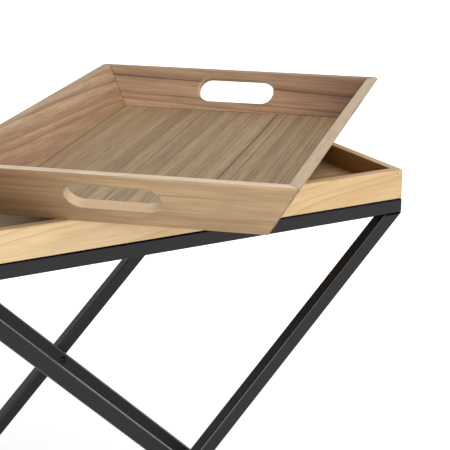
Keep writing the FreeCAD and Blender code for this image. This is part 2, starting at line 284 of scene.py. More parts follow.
class NodeGroup(Wiring):
    """The wiring of a node group, which is built the first time that it is asked for.

    An input is given by its default, a number or a vector, or else by its kind.
    """

    tree_type = "ShaderNodeTree"
    name = ""
    inputs: dict[str, Any] = {}
    outputs: tuple[str, ...] = ("Mask",)
    output_kind = Kind.NUMBER

    def __init__(self) -> None:
        """Find the group's tree, or build it."""
        found = bpy.data.node_groups.get(self.name)
        super().__init__(found or bpy.data.node_groups.new(self.name, self.tree_type))
        if found:
            return
        sockets = self.tree.interface
        for label, value in self.inputs.items():
            if isinstance(value, Kind):
                sockets.new_socket(label, in_out="INPUT", socket_type=value.value)
            else:
                kind = Kind.VECTOR if isinstance(value, tuple) else Kind.NUMBER
                sockets.new_socket(label, in_out="INPUT", socket_type=kind.value).default_value = value
        for label in self.outputs:
            sockets.new_socket(label, in_out="OUTPUT", socket_type=self.output_kind.value)
        self.given = self.add("NodeGroupInput").outputs
        self.add("NodeGroupOutput", self.wire())

    def wire(self) -> Feeds:
        """Wire the inside, and say what feeds each output."""
        raise NotImplementedError

    def place(self, wiring: Wiring, feeds: Feeds) -> Outputs:
        """Place the group in a material."""
        return wiring.add("ShaderNodeGroup", feeds, node_tree=self.tree).outputs


class WoodGrain(NodeGroup):
    """Growth rings, fibres, tone and pores of a board, with X along the grain."""

    name = "wood grain"
    inputs = {"Vector": ORIGIN, "Pith": ORIGIN, "Ring Spacing": 0.01, "Wander": 0.01}
    outputs = ("Late", "Line", "Band", "Streaks", "Tone", "Pores", "Height")

    wander_grains = (2.2, 9.0, 9.0)
    streak_grains = (11.0, 230.0, 230.0)
    streak_detail = (5.0, 0.6)
    tone_grains = (2.4, 14.0, 14.0)
    pore_grains = (40.0, 1200.0, 1200.0)
    pore_edge = (0.6, 0.74)
    year_grains = 0.45
    year_spread = 2.4
    band_grains = 0.3
    faintest_ring = 0.05
    late_rise = (0.1, 0.93)
    line_rise = (0.72, 0.92)
    year_end = (0.93, 1.0)
    late_height = 0.35
    pore_depth = 0.6

    def ring_noise(self, phase: Socket, grains: float) -> Socket:
        """Noise that changes from ring to ring."""
        feeds = {"W": self.times(phase, grains), "Scale": 1.0}
        return self.add("ShaderNodeTexNoise", feeds, noise_dimensions="1D").outputs[0]

    def wire(self) -> Feeds:
        """Wire rings about a wandering pith, and noises stretched along the grain.

        Returns:
            The feeds of late wood, ring lines, bands, streaks, tone, pores and height.
        """
        here = self.given["Vector"]
        sway = self.noise(here, self.wander_grains).node.outputs["Color"]
        sway = self.vector("MULTIPLY", self.vector("SUBTRACT", sway, (NOISE_MIDDLE,) * 3), self.given["Wander"])
        across = self.parts(self.vector("ADD", self.vector("ADD", here, sway), self.given["Pith"]))
        radius = self.vector("LENGTH", self.joined(0.0, across[1], across[2]))
        phase = self.math("DIVIDE", radius, self.given["Ring Spacing"])
        age = self.plus(phase, self.times(self.ring_noise(phase, self.year_grains), self.year_spread))
        year = self.math("FRACT", age)
        chance = self.add("ShaderNodeTexWhiteNoise", {"W": self.math("FLOOR", age)}, noise_dimensions="1D")
        strength = self.spread(chance.outputs["Value"], self.faintest_ring, 1.0)
        end = self.step(year, *self.year_end)
        late, line = (self.times(self.minus(self.step(year, *rise), end), strength)
                      for rise in (self.late_rise, self.line_rise))
        streaks = self.noise(here, self.streak_grains, *self.streak_detail)
        pores = self.step(self.noise(here, self.pore_grains, detail=1.0), *self.pore_edge)
        fibres = self.minus(streaks, self.times(pores, self.pore_depth))
        return {"Late": late, "Line": line, "Band": self.ring_noise(phase, self.band_grains),
                "Streaks": streaks, "Tone": self.noise(here, self.tone_grains), "Pores": pores,
                "Height": self.plus(self.times(late, self.late_height), fibres)}


class FacingUp(NodeGroup):
    """How far a surface faces up, for sanded rims."""

    name = "facing up"
    inputs = {"Low": 0.9, "High": 0.99}

    def wire(self) -> Feeds:
        """Wire a soft step on the normal's height."""
        up = self.parts(self.add("ShaderNodeNewGeometry").outputs["Normal"])[2]
        return {"Mask": self.step(up, self.given["Low"], self.given["High"])}


class MitreSeam(NodeGroup):
    """Thin lines where the boards of a ring meet at 45 degrees in plan."""

    name = "mitre seam"
    inputs = {"Vector": ORIGIN, "Offset": 0.1, "Width": 0.0005}

    def wire(self) -> Feeds:
        """Wire the distance to the mitre planes.

        Returns:
            The feed of the mask.
        """
        place = self.parts(self.vector("ABSOLUTE", self.given["Vector"]))
        off = self.minus(self.minus(place[1], place[0]), self.given["Offset"])
        distance = self.math("DIVIDE", self.math("ABSOLUTE", off), math.sqrt(2))
        return {"Mask": self.minus(1.0, self.step(distance, 0.0, self.given["Width"]))}


class SlotWall(NodeGroup):
    """The cut wall of a slot with round ends, read in the slot's own frame."""

    name = "slot wall"
    inputs = {"Vector": ORIGIN, "Length": 0.1, "Height": 0.04, "Reach": 0.002}

    def wire(self) -> Feeds:
        """Wire the distance from the slot's outline.

        Returns:
            The feed of the mask.
        """
        place = self.parts(self.vector("ABSOLUTE", self.given["Vector"]))
        radius = self.math("DIVIDE", self.given["Height"], 2.0)
        straight = self.minus(self.math("DIVIDE", self.given["Length"], 2.0), radius)
        along = self.math("MAXIMUM", self.minus(place[0], straight), 0.0)
        out = self.minus(self.vector("LENGTH", self.joined(along, place[1], 0.0)), radius)
        return {"Mask": self.minus(1.0, self.step(out, 0.0, self.given["Reach"]))}


class TubeEdge(NodeGroup):
    """The rounded edges of a square tube, from the way two of its faces look."""

    name = "tube edge"
    inputs = {"First": (1.0, 0.0, 0.0), "Second": (0.0, 0.0, 1.0)}
    shared_look = (0.58, 0.70)

    def wire(self) -> Feeds:
        """Wire how far the normal looks both ways at once.

        Returns:
            The feed of the mask.
        """
        normal = self.add("ShaderNodeNewGeometry").outputs["Normal"]
        looks = (self.math("ABSOLUTE", self.vector("DOT_PRODUCT", normal, self.given[label]))
                 for label in ("First", "Second"))
        return {"Mask": self.step(self.math("MINIMUM", *looks), *self.shared_look)}


class PanelEdge(NodeGroup):
    """The shaded border of a panel that is let into a frame."""

    name = "panel edge"
    inputs = {"Vector": ORIGIN, "Half Length": 0.3, "Half Width": 0.2, "Reach": 0.003}

    def wire(self) -> Feeds:
        """Wire the distance in from the nearest side.

        Returns:
            The feed of the mask.
        """
        place = self.parts(self.vector("ABSOLUTE", self.given["Vector"]))
        gaps = (self.minus(self.given[label], place[axis])
                for axis, label in enumerate(("Half Length", "Half Width")))
        return {"Mask": self.step(self.math("MINIMUM", *gaps), self.given["Reach"], 0.0)}


class GrainCheck(NodeGroup):
    """A short split along the grain."""

    name = "grain check"
    inputs = {"Vector": ORIGIN, "Length": 0.02, "Width": 0.001}
    waver_grains = (150.0, 150.0, 150.0)
    waver = 3.0
    fade = (0.5, 0.1)

    def wire(self) -> Feeds:
        """Wire the distance from a line that fades at its ends and wavers a little.

        Returns:
            The feed of the mask.
        """
        place = self.parts(self.given["Vector"])
        bend = self.minus(self.noise(self.given["Vector"], self.waver_grains, detail=1.0), NOISE_MIDDLE)
        bend = self.times(self.times(bend, self.given["Width"]), self.waver)
        off = self.math("ABSOLUTE", self.plus(place[1], bend))
        along = self.math("DIVIDE", self.math("ABSOLUTE", place[0]), self.given["Length"])
        return {"Mask": self.times(self.step(off, self.given["Width"], 0.0), self.step(along, *self.fade))}


class LevelSeam(NodeGroup):
    """A band about one height, where two pieces meet and the light does not reach."""

    name = "level seam"
    inputs = {"Vector": ORIGIN, "Level": 0.0, "Reach": 0.003}
    core = 0.4

    def wire(self) -> Feeds:
        """Wire the distance from the level."""
        off = self.math("ABSOLUTE", self.minus(self.parts(self.given["Vector"])[2], self.given["Level"]))
        return {"Mask": self.step(off, self.given["Reach"], self.times(self.given["Reach"], self.core))}


class CoatTexture(NodeGroup):
    """Fine orange peel of a baked coat, with broad handling marks."""

    name = "coat texture"
    inputs = {"Vector": ORIGIN, "Grains": 900.0}
    outputs = ("Peel", "Marks")
    mark_grains = (14.0, 14.0, 14.0)

    def wire(self) -> Feeds:
        """Wire one fine noise and one broad noise."""
        fine = self.add("ShaderNodeTexNoise", {"Vector": self.given["Vector"], "Scale": self.given["Grains"]})
        return {"Peel": fine.outputs[0], "Marks": self.noise(self.given["Vector"], self.mark_grains, detail=4.0)}


@dataclass(frozen=True)
class WoodFinish:
    """A kind of wood and how it is finished.

    Streak and band are how far fine streaks and broad bands take the colour from its middle. A panel with a
    plain side has its ring lines fade out that far from its middle.
    """

    early: Colour
    late: Colour
    pore: Colour
    rim: Colour
    ring_spacing: float
    late_share: float
    line_share: float
    streak: float
    band: float
    tone: Colour = (1.0, 1.0, 1.0)
    tone_share: float = 0.0
    rim_share: float = 0.0
    wander: float = 0.02
    pore_share: float = 0.35
    roughness: float = 0.55
    relief: float = 0.3
    plain_side: float = 0.0


@dataclass(frozen=True)
class Drift:
    """A gentle shade on a board: where it is full, where it has gone, its colour and its way."""

    start: float
    end: float
    shade: Colour
    axis: Axis = Axis.ALONG


@dataclass(frozen=True)
class Board:
    """One board: its node, its wood, where in the log it was cut, how it lies and how its colour drifts.

    The board's own X runs along its grain, Y up its face and Z through it. A log that dives through
    the face leaves long arches on it.
    """

    node: str
    finish: WoodFinish
    cut: Triple
    turn: float = 0.0
    tilt: float = 0.0
    skew: float = 0.0
    dive: float = 0.0
    drifts: tuple[Drift, ...] = ()


class WoodDress(NewMaterial):
    """One board's material, built up in layers of colour."""

    relief_distance = 0.0006
    rough_spread = 0.1
    specular = 0.3
    tone_edge = (0.35, 0.7)
    rim_grains = (25.0, 160.0, 160.0)
    rim_mottle = (0.72, 1.28)

    def __init__(self, name: str, board: Board, pith: Triple) -> None:
        """Start from the grain, its tone and its drifts.

        Args:
            name: the material's name.
            board: the board that wears it.
            pith: where the middle of the log is, from the board's middle.
        """
        super().__init__(name)
        self.wood = wood = board.finish
        self.here = self.lie(middle_of(board.node), board.turn, board.tilt, board.skew)
        in_log = self.add("ShaderNodeVectorRotate", {"Vector": self.here, "Angle": board.dive},
                          rotation_type="Y_AXIS").outputs[0]
        self.grain = WoodGrain().place(self, {
            "Vector": self.vector("ADD", in_log, board.cut),
            "Pith": tuple(depth - shift for depth, shift in zip(pith, board.cut)),
            "Ring Spacing": wood.ring_spacing, "Wander": wood.wander})
        self.colour: Feed = wood.early
        self.paint(self.grain["Late"], wood.late, wood.late_share)
        self.paint(self.grain["Line"], wood.pore, self.lines_kept())
        for layer, reach in (("Streaks", wood.streak), ("Band", wood.band)):
            shade = self.about(self.grain[layer], 1.0, reach)
            self.colour = self.mix(1.0, self.colour, shade, Blend.TIMES)
        self.paint(self.grain["Pores"], wood.pore, wood.pore_share)
        patches = self.step(self.grain["Tone"], *self.tone_edge)
        self.paint(patches, wood.tone, wood.tone_share, Blend.TIMES)
        for drift in board.drifts:
            share = self.step(self.parts(self.here)[drift.axis.value], drift.end, drift.start)
            self.paint(share, drift.shade, 1.0, Blend.TIMES)

    def lines_kept(self) -> Feed:
        """How strong the dark lines of the rings are; a panel has fewer on one side.

        Returns:
            The share of the lines' colour.
        """
        if not self.wood.plain_side:
            return self.wood.line_share
        across = self.parts(self.here)[Axis.UP.value]
        return self.times(self.step(across, self.wood.plain_side, 0.0), self.wood.line_share)

    def rim(self) -> None:
        """Give the faces that look up the colour of a sanded edge."""
        stains = self.spread(self.noise(self.here, self.rim_grains, detail=3.0), *self.rim_mottle)
        sanded = self.mix(1.0, self.wood.rim, stains, Blend.TIMES)
        self.paint(FacingUp().place(self, {})["Mask"], sanded, self.wood.rim_share)

    def paint(self, mask: Socket, colour: Feed, share: Feed, blend: Blend = Blend.OVER) -> None:
        """Lay a colour over the part of the board that a mask gives."""
        self.colour = self.mix(self.times(mask, share), self.colour, colour, blend)

    def done(self) -> Material:
        """Wire the layers to the shader.

        Returns:
            The finished material.
        """
        return self.wear({
            "Base Color": self.colour, "Specular IOR Level": self.specular,
            "Roughness": self.about(self.grain["Streaks"], self.wood.roughness, self.rough_spread),
            "Normal": self.bump(self.grain["Height"], self.wood.relief, self.relief_distance)})


@dataclass(frozen=True)
class CoatFinish:
    """A coat, plating or moulded skin over a plain body."""

    colour: Colour
    worn: Colour
    roughness: float
    specular: float
    grains: float
    relief: float
    metallic: float = 0.0
    edge_roughness: float = 0.16
    edge_ior: float = 2.9
    mark_edge: tuple[float, float] = (0.4, 0.75)
    rough_spread: float = 0.06
    relief_distance: float = 0.0003

    def material(self, name: str, seams: Sequence[Triple] = (), faces: tuple[Triple, Triple] | None = None,
                 gloss: float = 1.0) -> Material:
        """Build the material.

        Args:
            name: its name.
            seams: the height, the reach and the strength of each band of painted shade at a seam.
            faces: the ways that two faces of a tube look, whose rounded edges are glossier.
            gloss: how glossy those edges are.

        Returns:
            The material.
        """
        made = NewMaterial(name)
        texture = CoatTexture().place(made, {"Vector": made.on_table, "Grains": self.grains})
        marks = texture["Marks"]
        colour = made.mix(made.step(marks, *self.mark_edge), self.colour, self.worn)
        metal: Feed = self.metallic
        # Painted shade at each seam: black, and metallic so that it mirrors nothing.
        for level, reach, strength in seams:
            seam = LevelSeam().place(made, {"Vector": made.on_table, "Level": level, "Reach": reach})
            share = made.times(seam["Mask"], strength)
            colour = made.mix(share, colour, PAINTED_SHADE_BLACK)
            metal = made.math("MAXIMUM", metal, share)
        if faces:
            edge = TubeEdge().place(made, {"First": faces[0], "Second": faces[1]})["Mask"]
            made.wear({"Coat Weight": made.times(edge, gloss), "Coat Roughness": self.edge_roughness,
                       "Coat IOR": self.edge_ior})
        return made.wear({
            "Base Color": colour, "Metallic": metal, "Specular IOR Level": self.specular,
            "Roughness": made.about(marks, self.roughness, self.rough_spread),
            "Normal": made.bump(texture["Peel"], self.relief, self.relief_distance)})


POWDER_BLACK = CoatFinish((0.002, 0.002, 0.0035), (0.004, 0.004, 0.0055), roughness=0.42, specular=0.32,
                          grains=1100.0, relief=0.25)
BOLT_BLACK = CoatFinish((0.001, 0.001, 0.0015), (0.002, 0.002, 0.002), roughness=0.16, specular=0.16,
                        grains=1600.0, relief=0.1)
ZINC_BRIGHT = CoatFinish((0.56, 0.56, 0.58), (0.42, 0.42, 0.43), roughness=0.34, specular=0.5, grains=700.0,
                         relief=0.1, metallic=1.0)
NAIL_DULL = CoatFinish((0.16, 0.14, 0.12), (0.09, 0.075, 0.06), roughness=0.5, specular=0.4, grains=1500.0,
                       relief=0.2, metallic=0.8)
GLIDE_BLACK = CoatFinish((0.018, 0.018, 0.018), (0.026, 0.026, 0.025), roughness=0.55, specular=0.4,
                         grains=2200.0, relief=0.3)

PALE_FIR = WoodFinish(
    early=(0.79, 0.575, 0.335), late=(0.68, 0.435, 0.19), pore=(0.46, 0.27, 0.11), rim=(0.61, 0.44, 0.27),
    ring_spacing=0.007, late_share=0.65, line_share=0.4, streak=0.22, band=0.15, tone=(0.96, 0.93, 0.86),
    tone_share=0.5, rim_share=0.8, pore_share=0.2, relief=0.25)
FIR_PANEL = WoodFinish(
    early=(0.52, 0.345, 0.165), late=(0.30, 0.195, 0.095), pore=(0.16, 0.10, 0.06), rim=(0.42, 0.29, 0.17),
    ring_spacing=0.010, late_share=0.5, line_share=0.4, streak=0.4, band=0.3, pore_share=0.4, roughness=0.6)
GOLDEN_TAN = WoodFinish(
    early=(0.53, 0.36, 0.20), late=(0.42, 0.27, 0.14), pore=(0.24, 0.14, 0.07), rim=(0.87, 0.69, 0.50),
    ring_spacing=0.010, late_share=0.3, line_share=0.15, streak=0.6, band=0.08, tone=(0.86, 0.80, 0.76),
    tone_share=0.7, rim_share=0.95, wander=0.016)
SOFT_TAN = WoodFinish(
    early=(0.56, 0.375, 0.22), late=(0.34, 0.20, 0.112), pore=(0.15, 0.08, 0.042), rim=(0.64, 0.495, 0.335),
    ring_spacing=0.017, late_share=0.7, line_share=0.7, streak=0.6, band=0.4, tone=(0.86, 0.80, 0.76),
    tone_share=0.7, rim_share=0.9)
LEFT_TAN = replace(SOFT_TAN, rim_share=0.15, line_share=0.35)
RED_TAN = WoodFinish(
    early=(0.48, 0.30, 0.18), late=(0.27, 0.148, 0.084), pore=(0.07, 0.035, 0.018), rim=(0.46, 0.30, 0.19),
    ring_spacing=0.014, late_share=0.95, line_share=1.0, streak=0.6, band=0.55, tone=(0.86, 0.80, 0.76),
    tone_share=0.7, rim_share=0.4, wander=0.03)
GREY_PANEL = WoodFinish(
    early=(0.415, 0.28, 0.150), late=(0.355, 0.236, 0.126), pore=(0.07, 0.047, 0.03), rim=(0.40, 0.28, 0.18),
    ring_spacing=0.0075, late_share=0.7, line_share=1.0, streak=0.58, band=0.40, tone=(0.9, 0.88, 0.86),
    tone_share=0.6, wander=0.006, roughness=0.6, plain_side=0.12)


@dataclass(frozen=True)
class Ring:
    """One ring of a turned shape: round when it has no sides, and otherwise a polygon by its flats."""

    radius: float
    height: float
    sides: int = 0

    def points(self, segments: int) -> list[Vector]:
        """Points around the ring; a radius of zero gives the one point at the middle.

        Args:
            segments: how many points go round.

        Returns:
            The points, in order.
        """
        if self.radius == 0:
            return [Vector((0, 0, self.height))]
        places = []
        for number in range(segments):
            angle = math.tau * number / segments
            reach = self.radius
            if self.sides:
                half = math.pi / self.sides
                reach = self.radius / math.cos((angle + half) % (2 * half) - half)
            places.append(Vector((reach * math.cos(angle), reach * math.sin(angle), self.height)))
        return places


def dome_rings(radius: float, height: float, base: float, count: int, inner: float = 0.0) -> list[Ring]:
    """Rings up the cap of a ball.

    Args:
        radius: the cap's radius at its base.
        height: how high the cap is.
        base: the height of its base.
        count: how many rings it has.
        inner: the radius at which it stops short of its top.

    Returns:
        The rings, from the base up.
    """
    ball = (radius ** 2 + height ** 2) / (2 * height)
    widest = math.asin(min(1.0, radius / ball))
    least = math.asin(inner / ball)
    angles = (widest + (least - widest) * number / count for number in range(count + 1))
    return [Ring(ball * math.sin(angle), base + height - ball * (1 - math.cos(angle))) for angle in angles]


class TurnedShape:
    """A closed shape turned about Z, given by its rings from one pole to the other."""

    segments = 36

    def rings(self) -> list[Ring]:
        """The rings, in order."""
        raise NotImplementedError

    def make(self, name: str) -> Piece:
        """Turn the shape.

        Args:
            name: the object's name.

        Returns:
            The object, not yet in the scene.
        """
        shape = bmesh.new()
        rows = [[shape.verts.new(point) for point in ring.points(self.segments)] for ring in self.rings()]
        for below, above in zip(rows, rows[1:]):
            for number in range(self.segments):
                after = (number + 1) % self.segments
                corners = [below[number % len(below)], below[after % len(below)],
                           above[after % len(above)], above[number % len(above)]]
                shape.faces.new(list(dict.fromkeys(corners)))
        bmesh.ops.recalc_face_normals(shape, faces=shape.faces)
        mesh = bpy.data.meshes.new(name)
        shape.to_mesh(mesh)
        shape.free()
        mesh.shade_smooth()
        mesh.set_sharp_from_angle(angle=SHARP_ANGLE)
        return bpy.data.objects.new(name, mesh)


@dataclass(frozen=True)
class BoltShape(TurnedShape):
    """A domed bolt with a hexagon socket, its head's top at the origin and its shank down Z."""

    head_radius: float
    length: float
    head_share: float = 0.54
    shank_share: float = 0.46
    socket_share: float = 0.3
    base_share: float = 0.97
    crown_share: float = 0.92
    socket_depth: float = 0.62
    end_chamfer: float = 0.2
    mouth: tuple[float, float] = (1.25, 1.08)
    mouth_depth: tuple[float, float] = (0.03, 0.1)
    socket_cone: float = 0.3
    dome_steps: int = 8

    def rings(self) -> list[Ring]:
        """The rings from the shank's end up over the head and down into the socket.

        Returns:
            The rings, in order.
        """
        head = self.head_radius * self.head_share
        crown = head * self.crown_share
        shank = self.head_radius * self.shank_share
        chamfer = shank * self.end_chamfer
        socket = self.head_radius * self.socket_share
        floor = -head * self.socket_depth
        round_mouth, flat_mouth = (socket * share for share in self.mouth)
        mouth_top, mouth_foot = (-head * share for share in self.mouth_depth)
        return [
            Ring(0, -self.length), Ring(shank - chamfer, -self.length), Ring(shank, chamfer - self.length),
            Ring(shank, -head), Ring(self.head_radius * self.base_share, -head),
            *dome_rings(self.head_radius, crown, -crown, self.dome_steps, round_mouth),
            Ring(flat_mouth, mouth_top, HEXAGON), Ring(socket, mouth_foot, HEXAGON), Ring(socket, floor, HEXAGON),
            Ring(0, floor - socket * self.socket_cone)]


@dataclass(frozen=True)
class CapNutShape(TurnedShape):
    """A domed hexagon nut that sits on the XY plane, by half its width across flats."""

    flat: float
    height: float
    seat_share: float = 0.94
    rim_share: float = 0.99
    chamfer: tuple[float, float] = (0.04, 0.08)
    body_share: float = 0.58
    shoulder: tuple[float, float] = (0.97, 0.9)
    dome_share: float = 0.9
    dome_steps: int = 8

    def rings(self) -> list[Ring]:
        """The rings from the seat up over the dome.

        Returns:
            The rings, in order.
        """
        body = self.height * self.body_share
        low, high = (self.height * share for share in self.chamfer)
        in_share, up_share = self.shoulder
        return [
            Ring(0, 0), Ring(self.flat * self.seat_share, 0), Ring(self.flat * self.rim_share, low, HEXAGON),
            Ring(self.flat, high, HEXAGON), Ring(self.flat, body * up_share, HEXAGON),
            Ring(self.flat * in_share, body),
            *dome_rings(self.flat * self.dome_share, self.height - body, body, self.dome_steps)]


@dataclass(frozen=True)
class NailShape(TurnedShape):
    """A nail or brad with its head's top at the origin and its point down Z; point and neck are in radii."""

    radius: float
    length: float
    shank_share: float
    segments: int
    point: float = 3.0
    neck: float = 2.0
    crown_share: float = 0.2
    dome_steps: int = 3

    def rings(self) -> list[Ring]:
        """The rings from the point up over the head.

        Returns:
            The rings, in order.
        """
        shank = self.radius * self.shank_share
        crown = self.radius * self.crown_share
        return [
            Ring(0, -self.length), Ring(shank, self.point * self.radius - self.length),
            Ring(shank, -self.neck * self.radius), Ring(self.radius, -self.radius),
            *dome_rings(self.radius, crown, -crown, self.dome_steps)]


def solids_of(node: str) -> list[Place]:
    """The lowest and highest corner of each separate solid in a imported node.

    Args:
        node: the node's name.

    Returns:
        One pair of corners for each solid, sorted.
    """
    shape = bmesh.new()
    shape.from_mesh(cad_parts[node].data)
    bmesh.ops.remove_doubles(shape, verts=shape.verts, dist=MERGE_DISTANCE)
    left = set(shape.verts)
    boxes = []
    while left:
        reached = [left.pop()]
        for vertex in reached:
            fresh = {edge.other_vert(vertex) for edge in vertex.link_edges} & left
            left -= fresh
            reached.extend(fresh)
        columns = list(zip(*(vertex.co for vertex in reached)))
        boxes.append((Vector(map(min, columns)), Vector(map(max, columns))))
    shape.free()
    return sorted(boxes, key=lambda box: tuple(box[0]))


def places_along_y(node: str, way: int, at_tip: bool = True) -> list[Place]:
    """Where the fasteners of a node sit that lie along Y.

    Args:
        node: the node's name.
        way: 1 where they look out from the table's middle, and -1 where they look in.
        at_tip: whether a place is at the end that looks that way, or at the other end.

    Returns:
        A point and a direction for each fastener.
    """
    places = []
    for low, high in solids_of(node):
        middle = (low + high) / 2
        facing = way * math.copysign(1.0, middle.y)
        end = high.y if (facing > 0) == at_tip else low.y
        places.append((Vector((middle.x, end, middle.z)), Vector((0, facing, 0))))
    return places


def middle_of(node: str) -> Vector:
    """The middle of a node's box."""
    low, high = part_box(node)
    return (low + high) / 2


def dress(node: str, material: Material) -> None:
    """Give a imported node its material.

    Args:
        node: the node's name.
        material: what it wears.
    """
    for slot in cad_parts[node].material_slots:
        slot.material = material
    log.info("dressed %s in %s", node, material.name)


def seat(piece: Piece, body: Body, stands_for: Sequence[str] = ()) -> None:
    """Tie a new piece to its body and the nodes that it stands for.

    Args:
        piece: the new piece.
        body: what it rides on.
        stands_for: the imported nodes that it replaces.
    """
    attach(piece, body.value)
    if stands_for:
        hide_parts(*stands_for)
    log.info("made %s with %d faces", piece.name, len(piece.data.polygons))


class GeometryTree(NodeGroup):
    """A Geometry Nodes tree with named inputs, run on a small mesh to make one plain piece."""

    tree_type = "GeometryNodeTree"
    outputs = ("Geometry",)
    output_kind = Kind.GEOMETRY

    def instances(self) -> Socket:
        """Wire the geometry before it is realised."""
        raise NotImplementedError

    def wire(self) -> Feeds:
        """Realise the instances and give them their material.

        Returns:
            The feed of the geometry.
        """
        whole = self.add("GeometryNodeRealizeInstances", {"Geometry": self.instances()}).outputs[0]
        finished = self.add("GeometryNodeSetMaterial", {"Geometry": whole, "Material": self.given["Material"]})
        return {"Geometry": finished.outputs[0]}

    def run(self, name: str, seed_mesh: bpy.types.Mesh, values: dict[str, Any]) -> Piece:
        """Run the tree on a mesh and keep the result as a plain object.

        Args:
            name: the new piece's name.
            seed_mesh: the points or path that the tree starts from.
            values: the tree's inputs by name.

        Returns:
            The new piece, in the scene, with no modifier.
        """
        maker = bpy.data.objects.new(name + "_maker", seed_mesh)
        bpy.context.scene.collection.objects.link(maker)
        modifier = maker.modifiers.new("tree", "NODES")
        modifier.node_group = self.tree
        for item in self.tree.interface.items_tree:
            if item.in_out == "INPUT" and item.name in values:
                modifier[item.identifier] = values[item.name]
        graph = bpy.context.evaluated_depsgraph_get()
        mesh = bpy.data.meshes.new_from_object(maker.evaluated_get(graph))
        maker.modifiers.remove(modifier)
        bpy.data.objects.remove(maker)
        mesh.name = name
        piece = bpy.data.objects.new(name, mesh)
        bpy.context.scene.collection.objects.link(piece)
        return piece


class FastenerTree(GeometryTree):
    """Sets one fastener on each point, with its axis along the point's own direction and a random spin."""

    name = "fasteners on points"
    inputs = {"Geometry": Kind.GEOMETRY, "Fastener": Kind.OBJECT, "Size": Kind.NUMBER, "Seed": Kind.WHOLE,
              "Material": Kind.MATERIAL}
    facing = "facing"

    def instances(self) -> Socket:
        """Wire instances that are turned to the stored direction and spun about it.

        Returns:
            The instances.
        """
        way = self.add("GeometryNodeInputNamedAttribute", {"Name": self.facing}, data_type="FLOAT_VECTOR")
        aligned = self.add("FunctionNodeAlignRotationToVector", {"Vector": way.outputs[0]}, axis="Z")
        spin = self.add("FunctionNodeRandomValue", {"Seed": self.given["Seed"], 3: math.tau}, data_type="FLOAT")
        turn = self.add("FunctionNodeAxisAngleToRotation", {"Axis": (0.0, 0.0, 1.0), "Angle": spin.outputs[1]})
        rotation = self.add("FunctionNodeRotateRotation", {0: aligned.outputs[0], 1: turn.outputs[0]},
                            rotation_space="LOCAL")
        fastener = self.add("GeometryNodeObjectInfo", {"Object": self.given["Fastener"]})
        feeds = {"Points": self.given["Geometry"], "Instance": fastener.outputs["Geometry"],
                 "Rotation": rotation.outputs[0], "Scale": self.given["Size"]}
        return self.add("GeometryNodeInstanceOnPoints", feeds).outputs[0]

    def set_out(self, node: str, shape: TurnedShape, places: Sequence[Place], material: Material, seed: int,
                slot: Slot, body: Body = Body.TABLE) -> None:
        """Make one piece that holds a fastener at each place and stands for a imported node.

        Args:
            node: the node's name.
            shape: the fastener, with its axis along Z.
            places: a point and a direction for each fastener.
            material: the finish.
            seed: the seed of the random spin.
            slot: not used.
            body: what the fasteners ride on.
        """
        one = node.removesuffix("s")
        points = bpy.data.meshes.new(one + "_points")
        points.from_pydata([point for point, _ in places], [], [])
        ways = points.attributes.new(self.facing, "FLOAT_VECTOR", "POINT")
        ways.data.foreach_set("vector", [part for _, way in places for part in way])
        template = shape.make(one)
        bpy.context.scene.collection.objects.link(template)
        values = {"Fastener": template, "Size": 1.0, "Seed": seed, "Material": material}
        piece = self.run(one + "_set", points, values)
        bpy.data.objects.remove(template)
        seat(piece, body, (node,))


class WeldTree(GeometryTree):
    """Lays a weld bead of overlapping ripples along a path."""

    name = "weld bead on a path"
    inputs = {"Geometry": Kind.GEOMETRY, "Bead Radius": Kind.NUMBER, "Ripple Pitch": Kind.NUMBER,
              "Unevenness": Kind.NUMBER, "Seed": Kind.WHOLE, "Material": Kind.MATERIAL}
    ball_cuts = 2

    def instances(self) -> Socket:
        """Wire small balls at even steps along the path, each a little different.

        Returns:
            The instances.
        """
        path = self.add("GeometryNodeMeshToCurve", {"Mesh": self.given["Geometry"]}).outputs[0]
        steps = self.add("GeometryNodeResampleCurve", {"Curve": path, "Length": self.given["Ripple Pitch"]},
                         mode="LENGTH").outputs[0]
        size = {"Radius": self.given["Bead Radius"], "Subdivisions": self.ball_cuts}
        ball = self.add("GeometryNodeMeshIcoSphere", size)
        smooth = self.add("GeometryNodeSetShadeSmooth", {"Geometry": ball.outputs[0]}).outputs[0]
        uneven = self.given["Unevenness"]
        sizes = {"Seed": self.given["Seed"], 2: self.minus(1.0, uneven), 3: self.plus(1.0, uneven)}
        vary = self.add("FunctionNodeRandomValue", sizes, data_type="FLOAT")
        feeds = {"Points": steps, "Instance": smooth, "Scale": vary.outputs[1]}
        return self.add("GeometryNodeInstanceOnPoints", feeds).outputs[0]


